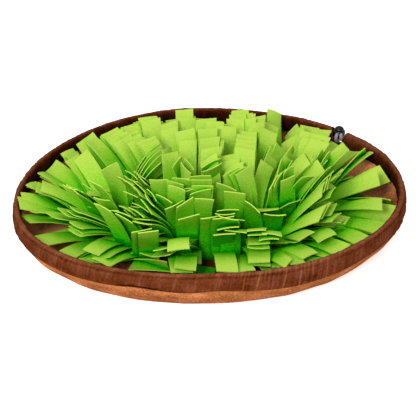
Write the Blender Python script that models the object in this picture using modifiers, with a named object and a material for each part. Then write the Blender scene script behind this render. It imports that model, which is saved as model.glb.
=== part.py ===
# A snuffle mat: a round cloth mat whose edge a drawcord holds up as a low wall, planted with
# rings of felt strips that stand in the middle and fan outwards over the cloth.
#
# Metres, +Z up. The origin is the middle of the underside, on the floor. +X is to the right,
# +Y to the back, and the cord lock sits in the gap of the casing at the back right.
# Every cloth piece is first made truly round and level, and uneven() then gives all of them
# the same slightly lobed outline and wavy rim, so that they keep clear of each other.

import math
from collections import namedtuple

import bmesh
import bpy
from mathutils import Matrix, Vector

# ---- Driving dimensions ----
RIM_RADIUS = 0.240  # to the outer face of the casing
RIM_HEIGHT = 0.052  # floor to the crest of the casing
CLOTH_THICKNESS = 0.0016
MESH_GAP = 0.0003  # left between pieces that touch

CASING_HEIGHT = 0.0225
CASING_THICKNESS = 0.0095
CASING_STEPS = 120
PUCKERS = 40  # main gathers that the drawcord pulls into the casing
PUCKER_DEPTH = 0.0009

FLAT_RADIUS = 0.206  # the part of the base that lies on the floor
BASE_STEPS = 66
WALL_FOLDS = 22
WALL_FOLD_DEPTH = 0.0012
EDGE_INSET = 0.0035  # the base cloth's edge stands this far inside the casing's outer face

LOCK_ANGLE = math.radians(41)
MOUTH_GAP_LOW = 0.008  # between the casing's two ends, at the seam
MOUTH_SLANT = 0.0105  # each end is cut back this much more at the crest
MOUTH_SLANT_REACH = 0.032
MOUTH_WALL = 0.0013
MOUTH_DEPTH = 0.009

CORD_DIAMETER = 0.0045
CORD_POINT_SPACING = 0.0016  # the cord's bends are tight, so its points are close
LOCK_RADIUS = 0.0082
LOCK_STEPS = 24
LOCK_DROP = 0.005  # the lock's middle is this far below the crest
LOCK_OFFSET = -0.002  # and this far along the rim from the middle of the gap
CORD_HOLE_CLEARANCE = 0.0005

STRIP_WIDTH = 0.024
FELT_THICKNESS = 0.002
STRIP_SEGMENTS = 3
PLY_SPACING = 0.006
BACKING_STEPS = 24
BACKING_MARGIN = 0.0025  # of the backing outside its outer plies

# The base cloth's wall, from the edge of the floor up to the seam: each point's share of the
# way out to the seam, and of its height.
WallPoint = namedtuple("WallPoint", "out up")
WALL_SECTION = (
    WallPoint(0.00, 0.00),
    WallPoint(0.24, 0.09),
    WallPoint(0.50, 0.32),
    WallPoint(0.78, 0.62),
    WallPoint(1.00, 0.90),
    WallPoint(1.00, 1.00),
)

# The casing's section, from its outer foot round over the crest: the face that each point is
# near, how far it stands in from there, and its height as a share of the casing's.
CasingPoint = namedtuple("CasingPoint", "face inset height")
CASING_SECTION = (
    CasingPoint("outer", 0.0004, 0.00),
    CasingPoint("outer", 0.0000, 0.42),
    CasingPoint("outer", 0.0008, 0.82),
    CasingPoint("outer", 0.0034, 1.00),
    CasingPoint("inner", 0.0034, 1.00),
    CasingPoint("inner", 0.0008, 0.82),
    CasingPoint("inner", 0.0000, 0.42),
    CasingPoint("inner", 0.0016, 0.00),
)

# The cord lock's section from its button down, in shares of its radius.
LockPoint = namedtuple("LockPoint", "radius height")
LOCK_SECTION = (
    LockPoint(0.00, 1.12),
    LockPoint(0.42, 1.03),
    LockPoint(0.70, 0.80),
    LockPoint(0.78, 0.55),
    LockPoint(0.72, 0.50),
    LockPoint(0.88, 0.44),
    LockPoint(0.98, 0.12),
    LockPoint(0.97, -0.25),
    LockPoint(0.82, -0.62),
    LockPoint(0.50, -0.88),
    LockPoint(0.00, -0.96),
)

# The outline's lobes: how many, and their size as a share of the radius.
Lobes = namedtuple("Lobes", "count cosine sine")
OUTLINE = (
    Lobes(count=2, cosine=0.008, sine=-0.006),
    Lobes(count=3, cosine=0.006, sine=-0.016),
    Lobes(count=4, cosine=-0.003, sine=0.006),
)

# Where the rim rises or dips, in metres at its crest and at the seam under the casing. Each
# stretch is centred on an angle and fades out over its reach, both in degrees.
RimWave = namedtuple("RimWave", "angle reach crest seam")
RIM_WAVES = (
    RimWave(-143, 9, 0.0004, 0.0014),
    RimWave(-111, 9, -0.0002, 0.0030),
    RimWave(-88, 6, 0.0014, 0.0020),
    RimWave(-66, 13, -0.0008, -0.0028),
    RimWave(-39, 8, 0.0006, 0.0020),
    RimWave(-8, 12, -0.0008, -0.0014),
    RimWave(20, 9, 0.0006, 0.0012),
    RimWave(72, 12, -0.0006, 0.0014),
    RimWave(100, 10, 0.0012, -0.0012),
    RimWave(134, 12, -0.0010, 0.0012),
    RimWave(168, 12, 0.0008, -0.0012),
)

# Where the felt leans less or more than the rings' own leans, as a share of them. The mat's
# outermost ply, which lies over the edge of the floor, has its own share.
LeanPatch = namedtuple("LeanPatch", "angle reach share outermost")
LEAN_PATCHES = (
    LeanPatch(-97, 26, -0.36, -0.10),
    LeanPatch(148, 50, -0.17, -0.17),
    LeanPatch(-145, 20, 0.04, 0.00),
)

# Each ring of felt: plies are the strips behind each other in one column. The leans are from
# upright, in degrees, at the root and at the tip, for the ring's inner ply and its outer one.
FeltRing = namedtuple(
    "FeltRing", "name radius columns plies turn root_lean tip_lean length sway"
)
FELT_RINGS = (
    FeltRing("felt_ring_1", 0.0165, 4, 2, 20, (0, 1), (2, 9), 0.098, 1),
    FeltRing("felt_ring_2", 0.0385, 8, 3, 0, (3, 7), (13, 22), 0.100, 3),
    FeltRing("felt_ring_3", 0.0600, 12, 3, 9, (9, 15), (27, 37), 0.102, 4),
    FeltRing("felt_ring_4", 0.0815, 17, 3, 0, (17, 26), (42, 53), 0.104, 5),
    FeltRing("felt_ring_5", 0.1025, 22, 3, 5, (30, 42), (58, 69), 0.104, 6),
    FeltRing("felt_ring_6", 0.1235, 27, 2, 0, (54, 66), (75, 88), 0.101, 7),
)

# How the strips of one ring differ. Each change is a wave round the ring: how many there are,
# and how far it shifts with the ring's columns and from ply to ply, in radians.
Wave = namedtuple("Wave", "count ring_shift ply_shift")
SWAY_WAVE = Wave(5, 1.0, 0)
NOD_WAVE = Wave(7, 1.7, 0)
TWIST_WAVE = Wave(9, 0.0, 2)
LENGTH_WAVE = Wave(11, 0.0, 3)
NOD = math.radians(2)
LENGTH_CHANGE = 0.035

COLOURS = {
    "base_cloth": (0.52, 0.19, 0.075),
    "casing_cloth": (0.16, 0.045, 0.02),
    "felt": (0.24, 0.60, 0.035),
    "drawcord": (0.72, 0.70, 0.70),
    "cord_lock": (0.012, 0.012, 0.012),
}
ROUGHNESS = {
    "base_cloth": 0.85,
    "casing_cloth": 0.85,
    "felt": 0.95,
    "drawcord": 0.7,
    "cord_lock": 0.3,
}


# ---- The mat's unevenness ----
def outline_share(angle):
    """The mat's radius in this direction, as a share of its nominal one."""
    lobes = sum(
        lobe.cosine * math.cos(lobe.count * angle) + lobe.sine * math.sin(lobe.count * angle)
        for lobe in OUTLINE
    )
    return 1 + lobes


def nearness(angle, patch):
    """1 in the middle of a stretch of the rim, and fading to 0 over its reach."""
    off = (math.degrees(angle) - patch.angle + 180) % 360 - 180
    return math.exp(-((off / patch.reach) ** 2))


def varied(angle, stretches, least):
    """Between least and 1, rising and falling this many times round the rim."""
    return (1 + least) / 2 + (1 - least) / 2 * math.sin(stretches * angle + 1)


def uneven(point):
    """Moves a point of the round, level mat to its place on the real one."""
    angle = math.atan2(point.y, point.x)
    radius = math.hypot(point.x, point.y)
    crest = sum(wave.crest * nearness(angle, wave) for wave in RIM_WAVES)
    seam = sum(wave.seam * nearness(angle, wave) for wave in RIM_WAVES)
    seam_height = RIM_HEIGHT - CASING_HEIGHT
    if point.z < seam_height:
        lift = seam * point.z / seam_height
    else:
        lift = seam + (crest - seam) * (point.z - seam_height) / CASING_HEIGHT
    near_rim = max(0.0, (radius - FLAT_RADIUS) / (RIM_RADIUS - FLAT_RADIUS))
    share = outline_share(angle)
    return Vector((point.x * share, point.y * share, point.z + lift * near_rim))


def outline_point(angle, radius):
    reach = radius * outline_share(angle)
    return Vector((reach * math.cos(angle), reach * math.sin(angle), 0))


def lock_directions():
    """The middle line of the casing at the lock, and the ways right along it and outwards."""
    middle = outline_point(LOCK_ANGLE, RIM_RADIUS - CASING_THICKNESS / 2)
    beside = outline_point(LOCK_ANGLE - 0.01, RIM_RADIUS - CASING_THICKNESS / 2)
    right = (beside - middle).normalized()
    return middle, right, Vector((-right.y, right.x, 0))


def by_lock(along, inward, below_crest):
    """A point near the cord lock: along the rim to the right of the lock's middle, inward of
    the casing's middle line, and below the crest."""
    middle, right, out = lock_directions()
    up = Vector((0, 0, RIM_HEIGHT - below_crest))
    return middle - out * inward + right * (along + LOCK_OFFSET) + up


# ---- Helpers ----
def plain_material(name):
    material = bpy.data.materials.new(name)
    material.use_nodes = True
    shader = material.node_tree.nodes["Principled BSDF"]
    shader.inputs["Base Color"].default_value = (*COLOURS[name], 1)
    shader.inputs["Roughness"].default_value = ROUGHNESS[name]
    shader.inputs["Metallic"].default_value = 0
    return material


def add_object(name, mesh, collection, material=None):
    obj = bpy.data.objects.new(name, mesh)
    collection.objects.link(obj)
    if material:
        mesh.materials.append(material)
    return obj


def add_modifier(obj, kind, **settings):
    modifier = obj.modifiers.new(kind.title(), kind)
    for setting, value in settings.items():
        setattr(modifier, setting, value)
    return modifier


def frozen(obj):
    """The object's mesh with its modifiers applied; the object itself is removed."""
    bpy.context.view_layer.update()
    graph = bpy.context.evaluated_depsgraph_get()
    mesh = bpy.data.meshes.new_from_object(obj.evaluated_get(graph))
    mesh.transform(obj.matrix_world)
    bpy.data.objects.remove(obj)
    return mesh


def turned_mesh(profile, steps, angle=math.tau, closed=False):
    """A profile of (radius, height) points turned about Z."""
    edges = [(i, i + 1) for i in range(len(profile) - 1)]
    if closed:
        edges.append((len(profile) - 1, 0))
    mesh = bpy.data.meshes.new("profile")
    mesh.from_pydata([(radius, 0, height) for radius, height in profile], edges, [])
    obj = add_object("profile", mesh, bpy.context.scene.collection)
    add_modifier(
        obj,
        "SCREW",
        angle=angle,
        steps=steps,
        render_steps=steps,
        use_merge_vertices=True,
        merge_threshold=0.0001,
        use_smooth_shade=True,
    )
    return frozen(obj)


def between(ends, share):
    return ends[0] * (1 - share) + ends[1] * share


def reshape(mesh, move):
    """Moves each vertex of the mesh as move() says."""
    for vertex in mesh.vertices:
        vertex.co = move(vertex.co.copy())


def face_outwards(mesh):
    shape = bmesh.new()
    shape.from_mesh(mesh)
    bmesh.ops.recalc_face_normals(shape, faces=shape.faces)
    shape.to_mesh(mesh)
    shape.free()


def shade_round(obj, angle=35):
    obj.data.shade_smooth()
    obj.data.set_sharp_from_angle(angle=math.radians(angle))


# ---- Base cloth: flat on the floor, curving up into the wall ----
def fold_wall(point):
    """Soft upright folds in the wall, none where the cloth lies flat."""
    radius = math.hypot(point.x, point.y)
    if radius <= FLAT_RADIUS:
        return point
    angle = math.atan2(point.y, point.x)
    top = RIM_HEIGHT - CASING_HEIGHT
    rise = min(1.0, point.z / top)
    # The folds flatten again at the seam, where the casing's strip holds them.
    depth = WALL_FOLD_DEPTH * varied(angle, 5, 0.2) * math.sin(math.pi * rise)
    share = 1 + depth * math.cos(WALL_FOLDS * angle) / radius
    return Vector((point.x * share, point.y * share, point.z))


def make_base_cloth(collection, material):
    top_radius = RIM_RADIUS - EDGE_INSET
    top_height = RIM_HEIGHT - CASING_HEIGHT - MESH_GAP
    floor = [(0, 0), (FLAT_RADIUS / 2, 0)]
    wall = [
        (between((FLAT_RADIUS, top_radius), point.out), top_height * point.up)
        for point in WALL_SECTION
    ]
    mesh = turned_mesh(floor + wall, BASE_STEPS)
    face_outwards(mesh)
    reshape(mesh, fold_wall)
    obj = add_object("base_cloth", mesh, collection, material)
    middle = min(mesh.polygons, key=lambda face: face.center.xy.length)
    inward = 1 if middle.normal.z > 0 else -1
    add_modifier(
        obj,
        "SOLIDIFY",
        thickness=CLOTH_THICKNESS,
        offset=inward,
        use_even_offset=True,
    )
    mesh = frozen(obj)
    reshape(mesh, uneven)
    obj = add_object("base_cloth", mesh, collection)
    shade_round(obj)
    return obj


# ---- Casing: the brown tube of cloth that the drawcord runs in ----
def casing_profile():
    """The tube's section as (radius, height)."""
    profile = []
    for point in CASING_SECTION:
        if point.face == "outer":
            radius = RIM_RADIUS - point.inset
        else:
            radius = RIM_RADIUS - CASING_THICKNESS + point.inset
        profile.append((radius, RIM_HEIGHT + (point.height - 1) * CASING_HEIGHT))
    return profile


def from_lock(angle):
    """The turn from the middle of the gap to this direction, between -pi and pi."""
    return (angle - LOCK_ANGLE + math.pi) % math.tau - math.pi


def from_casing_end(angle):
    """How far this direction is from the nearer end of the tube, along the rim."""
    return abs(from_lock(angle)) * RIM_RADIUS - MOUTH_GAP_LOW / 2


def pucker(point):
    """Upright gathers on both faces, deeper on some stretches than on others."""
    angle = math.atan2(point.y, point.x)
    radius = math.hypot(point.x, point.y)
    middle = RIM_RADIUS - CASING_THICKNESS / 2
    side = 1 if radius > middle else -1
    # The two ends are open and round, so the gathers fade out there.
    strength = varied(angle, 4, 0.3) * min(1.0, from_casing_end(angle) / MOUTH_SLANT_REACH)
    offset = side * PUCKER_DEPTH * strength * math.cos(PUCKERS * angle)
    share = 1 + offset / radius
    return Vector((point.x * share, point.y * share, point.z))


def slant_ends(point):
    """Cuts both ends of the tube back towards the crest, so that they open like a V."""
    angle = math.atan2(point.y, point.x)
    from_end = from_casing_end(angle)
    if from_end > MOUTH_SLANT_REACH:
        return point
    up_the_tube = (point.z - (RIM_HEIGHT - CASING_HEIGHT)) / CASING_HEIGHT
    back = MOUTH_SLANT * up_the_tube * (1 - from_end / MOUTH_SLANT_REACH)
    turn = math.copysign(back / RIM_RADIUS, from_lock(angle))
    return Matrix.Rotation(turn, 3, "Z") @ point


def hollow_mouth(shape, end_face):
    """Sinks a pocket in the end of the tube, where the drawcord comes out."""
    along_tube = (end_face.normal * Vector((1, 1, 0))).normalized()
    bmesh.ops.inset_region(shape, faces=[end_face], thickness=MOUTH_WALL, depth=0)
    sunk = bmesh.ops.extrude_face_region(shape, geom=[end_face])
    verts = [item for item in sunk["geom"] if isinstance(item, bmesh.types.BMVert)]
    bmesh.ops.translate(shape, verts=verts, vec=-along_tube * MOUTH_DEPTH)
    bmesh.ops.delete(shape, geom=[end_face], context="FACES_ONLY")


def make_casing(collection, material):
    gap = MOUTH_GAP_LOW / RIM_RADIUS
    mesh = turned_mesh(casing_profile(), CASING_STEPS, math.tau - gap, closed=True)
    mesh.transform(Matrix.Rotation(LOCK_ANGLE + gap / 2, 4, "Z"))
    shape = bmesh.new()
    shape.from_mesh(mesh)
    open_edges = [edge for edge in shape.edges if edge.is_boundary]
    ends = bmesh.ops.edgeloop_fill(shape, edges=open_edges)["faces"]
    bmesh.ops.recalc_face_normals(shape, faces=shape.faces)
    for vertex in shape.verts:
        vertex.co = slant_ends(pucker(vertex.co))
    shape.normal_update()
    for end_face in ends:
        hollow_mouth(shape, end_face)
    for vertex in shape.verts:
        vertex.co = uneven(vertex.co)
    shape.to_mesh(mesh)
    shape.free()
    face_outwards(mesh)
    obj = add_object("casing", mesh, collection, material)
    shade_round(obj, 50)
    return obj


# ---- Felt ----
def wave_at(wave, azimuth, ring, ply):
    shift = wave.ring_shift * ring.columns + wave.ply_shift * ply
    return math.sin(wave.count * azimuth + shift)


def strip_frames(ring, column, ply):
    """The strip's stations from root to tip: each a centre, a width direction and a face
    direction. Neighbouring columns sway apart and together, and each lean is a little off."""
    azimuth = math.radians(ring.turn) + math.tau * column / ring.columns
    sway = math.radians(ring.sway) * wave_at(SWAY_WAVE, azimuth, ring, ply)
    nod = NOD * wave_at(NOD_WAVE, azimuth, ring, ply)
    twist = math.radians(ring.sway) * wave_at(TWIST_WAVE, azimuth, ring, ply)
    outward = ply / (ring.plies - 1)
    outermost = ring is FELT_RINGS[-1] and ply == ring.plies - 1
    share = 1
    for patch in LEAN_PATCHES:
        share += nearness(azimuth, patch) * (patch.outermost if outermost else patch.share)
    root_lean = share * math.radians(between(ring.root_lean, outward))
    tip_lean = share * math.radians(between(ring.tip_lean, outward))
    length = ring.length * (1 + LENGTH_CHANGE * wave_at(LENGTH_WAVE, azimuth, ring, ply))
    root_radius = ring.radius + (outward - 0.5) * PLY_SPACING * (ring.plies - 1)

    root = Matrix.Rotation(azimuth, 3, "Z") @ Vector((root_radius, 0, 0))
    root.z = CLOTH_THICKNESS + MESH_GAP + FELT_THICKNESS / 2
    away = Vector((math.cos(azimuth + sway), math.sin(azimuth + sway), 0))
    across = Vector((-away.y, away.x, 0))
    frames = []
    centre = root
    for station in range(STRIP_SEGMENTS + 1):
        share = station / STRIP_SEGMENTS
        lean = root_lean + (tip_lean - root_lean) * share + nod * share
        forward = away * math.sin(lean) + Vector((0, 0, math.cos(lean)))
        if station:
            # Half of the step leaves in the last direction and half arrives in this one.
            centre = centre + (forward + last_forward) * (length / STRIP_SEGMENTS / 2)
        width = Matrix.Rotation(twist * share, 3, forward) @ across
        frames.append((centre, width, forward.cross(width)))
        last_forward = forward
    return frames


def add_strip(shape, frames):
    """One strip of felt with a four-cornered section at each station."""
    corners = ((-0.5, -0.5), (0.5, -0.5), (0.5, 0.5), (-0.5, 0.5))
    rows = []
    for centre, width, face in frames:
        row = [
            centre + width * (across * STRIP_WIDTH) + face * (through * FELT_THICKNESS)
            for across, through in corners
        ]
        rows.append([shape.verts.new(place) for place in row])
    for row, next_row in zip(rows, rows[1:]):
        for i in range(4):
            shape.faces.new((row[i - 1], row[i], next_row[i], next_row[i - 1]))
    shape.faces.new(rows[0])
    shape.faces.new(rows[-1])


def make_felt_ring(ring, collection, material):
    reach = PLY_SPACING * (ring.plies - 1) / 2 + FELT_THICKNESS / 2 + BACKING_MARGIN
    low = CLOTH_THICKNESS + MESH_GAP
    high = low + FELT_THICKNESS
    inner, outer = ring.radius - reach, ring.radius + reach
    profile = [(outer, low), (outer, high), (inner, high), (inner, low)]
    backing = add_object(
        ring.name,
        turned_mesh(profile, BACKING_STEPS, closed=True),
        collection,
        material,
    )
    face_outwards(backing.data)

    shape = bmesh.new()
    for column in range(ring.columns):
        for ply in range(ring.plies):
            add_strip(shape, strip_frames(ring, column, ply))
    bmesh.ops.recalc_face_normals(shape, faces=shape.faces)
    strips = bpy.data.meshes.new("strips")
    shape.to_mesh(strips)
    shape.free()
    strips = add_object("strips", strips, collection)
    add_modifier(backing, "BOOLEAN", operation="UNION", object=strips, solver="EXACT")
    mesh = frozen(backing)
    bpy.data.objects.remove(strips)
    reshape(mesh, uneven)
    return add_object(ring.name, mesh, collection)


# ---- Drawcord and cord lock ----
def smooth_route(points, spacing):
    """Points of an even spacing on a smooth curve through the given ones."""
    ends = [points[0] * 2 - points[1], *points, points[-1] * 2 - points[-2]]
    route = [points[0]]
    for i in range(1, len(ends) - 2):
        before, start, stop, after = ends[i - 1 : i + 3]
        steps = max(1, round((stop - start).length / spacing))
        for step in range(1, steps + 1):
            t = step / steps
            route.append(
                0.5
                * (
                    2 * start
                    + (stop - before) * t
                    + (2 * before - 5 * start + 4 * stop - after) * t**2
                    + (3 * start - before - 3 * stop + after) * t**3
                )
            )
    return route


# Each strand's route from inside the casing's end, round the inner side of the lock, out
# through it and down: along the rim from the lock's middle, inward of the casing's middle
# line, and below the crest.
RoutePoint = namedtuple("RoutePoint", "along inward below_crest")
THROUGH_LOCK = 0.0027  # each strand lies this far beside the middle of the hole
LOCK_TURN = math.radians(42)  # from the way out of the rim, round towards the casing's left end
STRAND_ROUTES = {
    "drawcord_right": (
        RoutePoint(0.0165, 0.0006, 0.0120),
        RoutePoint(0.0125, 0.0004, 0.0120),
        RoutePoint(0.0087, 0.0005, 0.0120),
        RoutePoint(0.0080, 0.0042, 0.0111),
        RoutePoint(0.0090, 0.0061, 0.0084),
        RoutePoint(0.0082, 0.0052, 0.0057),
        RoutePoint(0.0067, 0.0034, LOCK_DROP),
        RoutePoint(0.0020, -0.0018, LOCK_DROP),
        RoutePoint(-0.0028, -0.0071, LOCK_DROP),
        RoutePoint(-0.0031, -0.0096, 0.0066),
        RoutePoint(-0.0031, -0.0114, 0.0106),
        RoutePoint(-0.0031, -0.0120, 0.0170),
    ),
    "drawcord_left": (
        RoutePoint(-0.0120, 0.0001, 0.0154),
        RoutePoint(-0.0080, 0.0001, 0.0155),
        RoutePoint(-0.0032, 0.0003, 0.0157),
        RoutePoint(0.0000, 0.0032, 0.0156),
        RoutePoint(0.0026, 0.0066, 0.0146),
        RoutePoint(0.0038, 0.0100, 0.0120),
        RoutePoint(0.0044, 0.0110, 0.0088),
        RoutePoint(0.0040, 0.0096, 0.0060),
        RoutePoint(0.0024, 0.0067, LOCK_DROP),
        RoutePoint(-0.0020, 0.0018, LOCK_DROP),
        RoutePoint(-0.0068, -0.0036, LOCK_DROP),
        RoutePoint(-0.0083, -0.0073, 0.0056),
        RoutePoint(-0.0094, -0.0105, 0.0090),
        RoutePoint(-0.0102, -0.0120, 0.0175),
    ),
}


def make_strand(name, collection, material):
    """One end of the drawcord, from inside the casing to its tail outside the rim."""
    route = smooth_route([by_lock(*point) for point in STRAND_ROUTES[name]], CORD_POINT_SPACING)
    curve = bpy.data.curves.new(name, "CURVE")
    curve.dimensions = "3D"
    curve.bevel_depth = CORD_DIAMETER / 2
    curve.bevel_resolution = 2
    curve.use_fill_caps = True
    spline = curve.splines.new("POLY")
    spline.points.add(len(route) - 1)
    for point, place in zip(spline.points, route):
        point.co = (*place, 1)
    curve.materials.append(material)
    return add_object(name, curve, collection)


def make_cord_lock(collection, material):
    """A ball with its press button on top, and a flat hole that both strands pass through."""
    profile = [
        (LOCK_RADIUS * point.radius, LOCK_RADIUS * point.height) for point in LOCK_SECTION
    ]
    mesh = turned_mesh(profile, LOCK_STEPS)
    face_outwards(mesh)
    body = add_object("cord_lock", mesh, collection, material)

    hole_radius = CORD_DIAMETER / 2 + CORD_HOLE_CLEARANCE
    bpy.ops.mesh.primitive_cylinder_add(vertices=16, radius=hole_radius, depth=LOCK_RADIUS * 4)
    slot = bpy.context.object
    slot.name = "cord_hole"
    slot.hide_render = True
    slot.display_type = "WIRE"
    slot.data.transform(Matrix.Rotation(math.pi / 2, 4, "Y"))
    for vertex in slot.data.vertices:
        # Drawing the two halves apart makes the round cutter a flat slot.
        if abs(vertex.co.y) > MESH_GAP:
            vertex.co.y += math.copysign(THROUGH_LOCK, vertex.co.y)
    add_modifier(body, "BOOLEAN", operation="DIFFERENCE", object=slot, solver="EXACT")
    mesh = frozen(body)
    bpy.data.objects.remove(slot)
    body = add_object("cord_lock", mesh, collection)
    body.location = by_lock(0, 0, LOCK_DROP)
    body.rotation_euler.z = math.atan2(lock_directions()[2].y, lock_directions()[2].x) + LOCK_TURN
    shade_round(body)
    return body


def main():
    for obj in list(bpy.data.objects):
        bpy.data.objects.remove(obj)
    mat = bpy.data.collections.new("snuffle_mat")
    bpy.context.scene.collection.children.link(mat)
    materials = {name: plain_material(name) for name in COLOURS}

    make_base_cloth(mat, materials["base_cloth"])
    make_casing(mat, materials["casing_cloth"])
    for ring in FELT_RINGS:
        make_felt_ring(ring, mat, materials["felt"])
    for name in STRAND_ROUTES:
        make_strand(name, mat, materials["drawcord"])
    make_cord_lock(mat, materials["cord_lock"])


main()
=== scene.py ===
# Snuffle mat: a round cloth mat with a drawn-up edge and rings of lime felt strips.
# Metres, +Z up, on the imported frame.

import math
import random
from collections import namedtuple

import bmesh
import bpy
from mathutils import Matrix, Vector, noise
from mathutils.bvhtree import BVHTree


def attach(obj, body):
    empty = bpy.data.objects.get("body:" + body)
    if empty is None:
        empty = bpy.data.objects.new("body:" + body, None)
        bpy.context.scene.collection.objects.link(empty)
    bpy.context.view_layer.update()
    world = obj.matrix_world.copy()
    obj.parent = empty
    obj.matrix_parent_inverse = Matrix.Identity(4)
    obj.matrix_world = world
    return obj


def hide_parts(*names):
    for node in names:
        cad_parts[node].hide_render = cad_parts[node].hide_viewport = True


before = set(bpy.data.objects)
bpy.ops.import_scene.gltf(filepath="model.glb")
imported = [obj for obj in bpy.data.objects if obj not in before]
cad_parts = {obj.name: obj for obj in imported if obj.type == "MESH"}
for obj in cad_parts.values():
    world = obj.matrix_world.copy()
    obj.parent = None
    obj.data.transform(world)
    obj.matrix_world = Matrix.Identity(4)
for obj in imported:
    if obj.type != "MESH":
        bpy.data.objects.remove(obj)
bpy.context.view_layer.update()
print("frame loaded:", len(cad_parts), "nodes")

# What the whole mat shares: its sizes, the lobes of its outline, and where its rim rises or dips
mat = {
    "rimRadius": 0.240,
    "rimHeight": 0.052,
    "casingHeight": 0.0225,
    "casingThickness": 0.0095,
    "flatRadius": 0.206,
    "clothThickness": 0.0016,
    "feltThickness": 0.0012,
    "lockAngle": math.radians(41),
    # lobes: how many, cosine share, sine share
    "lobes": ((2, 0.008, -0.006), (3, 0.006, -0.016), (4, -0.003, 0.006)),
    # rim waves: angle and reach in degrees, then the rise at the crest and at the seam
    "rimWaves": (
        (-143, 9, 0.0004, 0.0014), (-111, 9, -0.0002, 0.0030), (-88, 6, 0.0014, 0.0020),
        (-66, 13, -0.0008, -0.0028), (-39, 8, 0.0006, 0.0020), (-8, 12, -0.0008, -0.0014),
        (20, 9, 0.0006, 0.0012), (72, 12, -0.0006, 0.0014), (100, 10, 0.0012, -0.0012),
        (134, 12, -0.0010, 0.0012), (168, 12, 0.0008, -0.0012),
    ),
}
seamHeight = mat["rimHeight"] - mat["casingHeight"]


# ---------- shape of the mat ----------
def onCircle(radius, angle, height=0.0):
    return Vector((radius * math.cos(angle), radius * math.sin(angle), height))


def outlineShare(angle):
    share = 1
    for count, cosine, sine in mat["lobes"]:
        share += cosine * math.cos(count * angle) + sine * math.sin(count * angle)
    return share


def degreesPast(angle, middle):
    # how far an angle lies past a middle one in degrees, the short way round
    return (math.degrees(angle) - middle + 180) % 360 - 180


def nearness(angle, middle, reach):
    # 1 in the middle of a stretch of the rim, fading to 0 over its reach, in degrees
    return math.exp(-((degreesPast(angle, middle) / reach) ** 2))


def limited(share):
    return min(1.0, max(0.0, share))


def uneven(point):
    # moves a point of a truly round and level mat to its place on the lobed, wavy one
    angle = math.atan2(point.y, point.x)
    crest = seam = 0
    for middle, reach, crestRise, seamRise in mat["rimWaves"]:
        near = nearness(angle, middle, reach)
        crest += crestRise * near
        seam += seamRise * near
    if point.z < seamHeight:
        lift = seam * point.z / seamHeight
    else:
        lift = seam + (crest - seam) * (point.z - seamHeight) / mat["casingHeight"]
    radius = math.hypot(point.x, point.y)
    nearRim = max(0.0, (radius - mat["flatRadius"]) / (mat["rimRadius"] - mat["flatRadius"]))
    share = outlineShare(angle)
    return Vector((point.x * share, point.y * share, point.z + lift * nearRim))


def valueAt(stops, place):
    # the value at a place along a line of stops, level past its ends
    place = min(max(place, stops[0][0]), stops[-1][0])
    for (start, first), (stop, last) in zip(stops, stops[1:]):
        if place <= stop:
            return first + (last - first) * (place - start) / (stop - start)


def smoothPath(points, share):
    # a point on the smooth curve through the given ones, at a share of its way
    ends = [points[0] * 2 - points[1], *points, points[-1] * 2 - points[-2]]
    spans = len(points) - 1
    span = min(int(share * spans), spans - 1)
    t = share * spans - span
    before, start, stop, after = ends[span : span + 4]
    return 0.5 * (
        2 * start
        + (stop - before) * t
        + (2 * before - 5 * start + 4 * stop - after) * t**2
        + (3 * start - before - 3 * stop + after) * t**3
    )


# ---------- helpers ----------
def linearColour(hexCode, alpha=1.0):
    channels = [int(hexCode[i : i + 2], 16) / 255 for i in (1, 3, 5)]
    linear = [c / 12.92 if c <= 0.04045 else ((c + 0.055) / 1.055) ** 2.4 for c in channels]
    return (*linear, alpha)


def newMaterial(name, **finish):
    # a new material, its shader's sockets set: a colour by its hex value
    material = bpy.data.materials.new(name)
    material.use_nodes = True
    shader = material.node_tree.nodes["Principled BSDF"]
    for key, value in finish.items():
        value = linearColour(value) if isinstance(value, str) else value
        shader.inputs[key.replace("_", " ")].default_value = value
    return material, shader


def addNode(material, kind, settings=None, **links):
    # adds one shader node: settings go to its properties or its sockets, links to its inputs
    tree = material.node_tree
    node = tree.nodes.new("ShaderNode" + kind)
    for key, value in (settings or {}).items():
        if isinstance(key, str) and hasattr(node, key):
            setattr(node, key, value)
        else:
            node.inputs[key].default_value = value
    for key, source in links.items():
        socket = node.inputs[int(key[1:])] if key[0] == "i" and key[1:].isdigit() else node.inputs[key]
        tree.links.new(source, socket)
    return node


def addShares(material, total, shares):
    # the total with the share of each source added to it
    for source, share in shares:
        settings = {"operation": "MULTIPLY_ADD", 1: share}
        total = addNode(material, "Math", settings, i0=source, i2=total).outputs[0]
    return total


def colourByTone(material, shader, tone, colours):
    ramp = addNode(material, "ValToRGB", i0=tone)
    stops = ramp.color_ramp.elements
    while len(stops) < len(colours):
        stops.new(0.5)
    for stop, (place, hexCode) in zip(stops, colours):
        stop.position = place
        stop.color = linearColour(hexCode)
    material.node_tree.links.new(ramp.outputs["Color"], shader.inputs["Base Color"])


def addRelief(material, shader, height, strength, distance):
    bump = addNode(material, "Bump", {"Strength": strength, "Distance": distance}, Height=height)
    material.node_tree.links.new(bump.outputs["Normal"], shader.inputs["Normal"])


def deselectAll():
    if bpy.context.object and bpy.context.object.mode != "OBJECT":
        bpy.ops.object.mode_set(mode="OBJECT")
    bpy.ops.object.select_all(action="DESELECT")


def pick(piece):
    deselectAll()
    piece.select_set(True)
    bpy.context.view_layer.objects.active = piece


def applyModifier(piece, name, kind, **settings):
    pick(piece)
    modifier = piece.modifiers.new(name, kind)
    for key, value in settings.items():
        setattr(modifier, key, value)
    bpy.ops.object.modifier_apply(modifier=modifier.name)


def pieceFrom(name, verts, faces, *materials):
    mesh = bpy.data.meshes.new(name)
    mesh.from_pydata(verts, [], faces)
    for material in materials:
        mesh.materials.append(material)
    piece = bpy.data.objects.new(name, mesh)
    bpy.context.collection.objects.link(piece)
    return piece


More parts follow.
